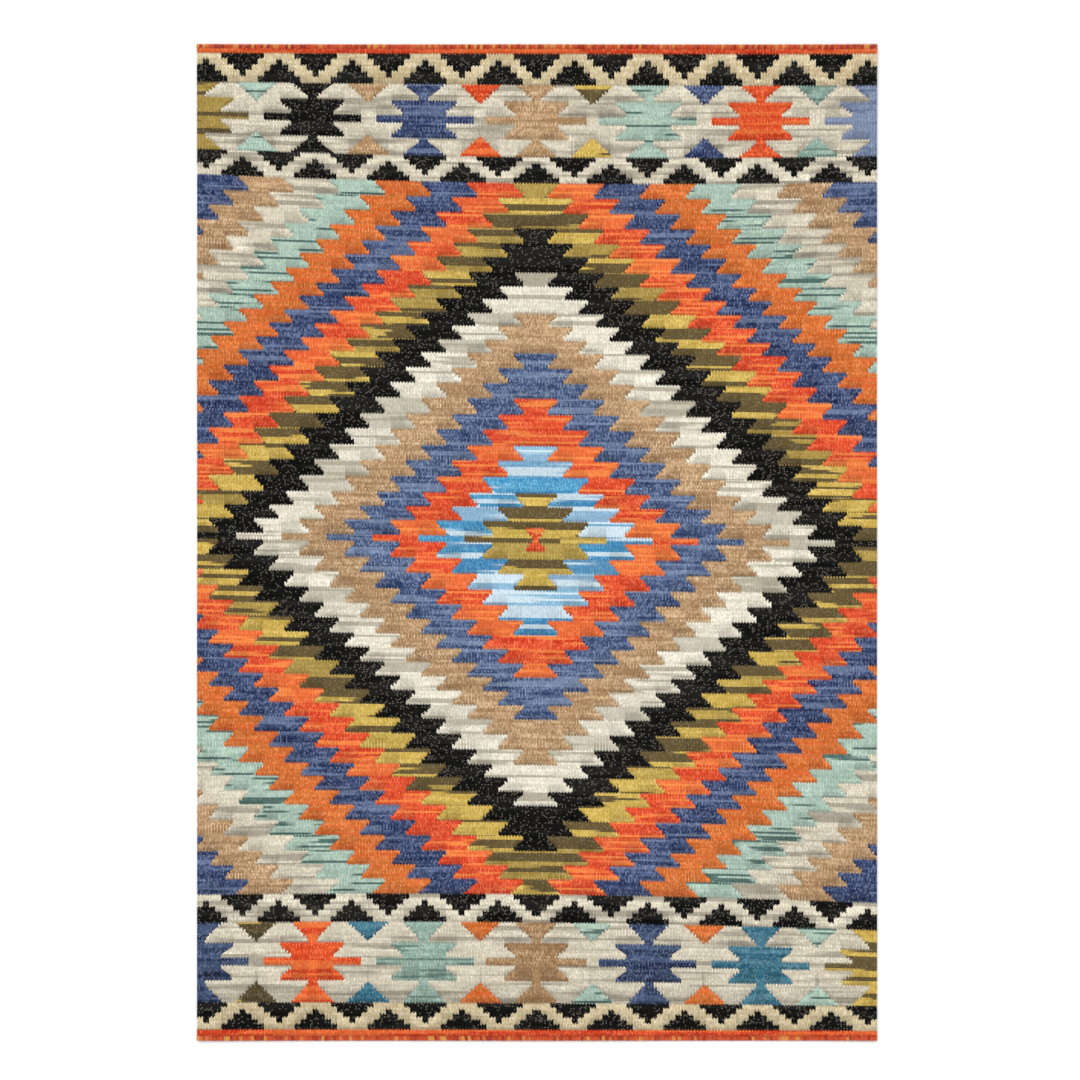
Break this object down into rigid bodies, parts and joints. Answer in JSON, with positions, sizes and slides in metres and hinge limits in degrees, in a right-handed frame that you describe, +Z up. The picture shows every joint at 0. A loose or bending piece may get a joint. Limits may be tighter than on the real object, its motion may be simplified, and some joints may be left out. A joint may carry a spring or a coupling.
{
  "type": "area rug",
  "caption": "Rectangular flat-woven wool rug with a serrated diamond field, medallion borders, stepped guard bands and overcast ends.",
  "frame": {"origin": "middle of the underside, on the floor", "axes": "+Z up out of the pile-free face, +Y along the warps towards the end whose medallion row starts with mustard and black, +X across the cloth"},
  "size_m": [1.57, 2.3, 0.0049],
  "materials": {
    "cotton_warp": "undyed cotton, twisted",
    "wool_black": "wool weft, black with pale warp specks",
    "wool_beige": "wool weft, beige",
    "wool_grey_ivory": "wool weft, ivory streaked with grey",
    "wool_ivory": "wool weft, ivory with grey streaks",
    "wool_red": "wool weft, red streaked with orange",
    "wool_orange": "wool weft, burnt orange",
    "wool_mustard": "wool weft, mustard streaked with olive",
    "wool_navy": "wool weft, navy streaked with mid blue",
    "wool_light_blue": "wool weft, pale and mid blue streaks",
    "wool_aqua": "wool weft, aqua streaked with dark teal",
    "wool_teal": "wool weft, teal blue",
    "wool_tan": "wool weft, tan"
  },
  "bodies": {
    "root": {"warp_threads": "cotton_warp", "selvedge_cords_left": "cotton_warp", "selvedge_cords_right": "cotton_warp", "end_web_far": "wool_red", "end_web_near": "wool_red", "end_roll_far": "cotton_warp", "end_roll_near": "cotton_warp", "end_overcasting_far": "wool_red", "end_overcasting_near": "wool_red", "outer_guard_ground_far": "wool_beige", "outer_guard_ground_near": "wool_beige", "inner_guard_ground_far": "wool_grey_ivory", "inner_guard_ground_near": "wool_grey_ivory", "outer_guard_steps_far": "wool_black", "outer_guard_steps_near": "wool_black", "inner_guard_steps_far": "wool_black", "inner_guard_steps_near": "wool_black", "border_ground_far": "wool_grey_ivory", "border_ground_near": "wool_grey_ivory", "medallion_far_mustard": "wool_mustard", "medallion_far_black": "wool_black", "medallion_far_navy": "wool_navy", "medallion_far_tan": "wool_tan", "medallion_far_aqua": "wool_aqua", "medallion_far_red": "wool_red", "medallion_far_navy_right": "wool_navy", "medallion_near_navy_left": "wool_navy", "medallion_near_red": "wool_red", "medallion_near_aqua": "wool_aqua", "medallion_near_tan": "wool_tan", "medallion_near_navy": "wool_navy", "medallion_near_teal": "wool_teal", "medallion_near_mustard": "wool_mustard", "fill_far_aqua_left": "wool_aqua", "fill_far_tan": "wool_tan", "fill_far_red": "wool_red", "fill_far_mustard": "wool_mustard", "fill_far_navy": "wool_navy", "fill_far_aqua": "wool_aqua", "fill_near_mustard": "wool_mustard", "fill_near_teal": "wool_teal", "fill_near_orange": "wool_orange", "fill_near_aqua": "wool_aqua", "field_centre_hourglass": "wool_red", "field_centre_mustard": "wool_mustard", "field_light_blue": "wool_light_blue", "field_inner_red": "wool_red", "field_inner_navy": "wool_navy", "field_inner_tan": "wool_tan", "field_ivory": "wool_ivory", "field_black": "wool_black", "field_outer_mustard": "wool_mustard", "field_outer_red": "wool_red", "field_outer_navy": "wool_navy", "field_orange": "wool_orange", "field_aqua": "wool_aqua", "field_grey": "wool_grey_ivory", "field_outer_tan": "wool_tan", "field_corner_navy": "wool_navy"}
  },
  "joints": []
}
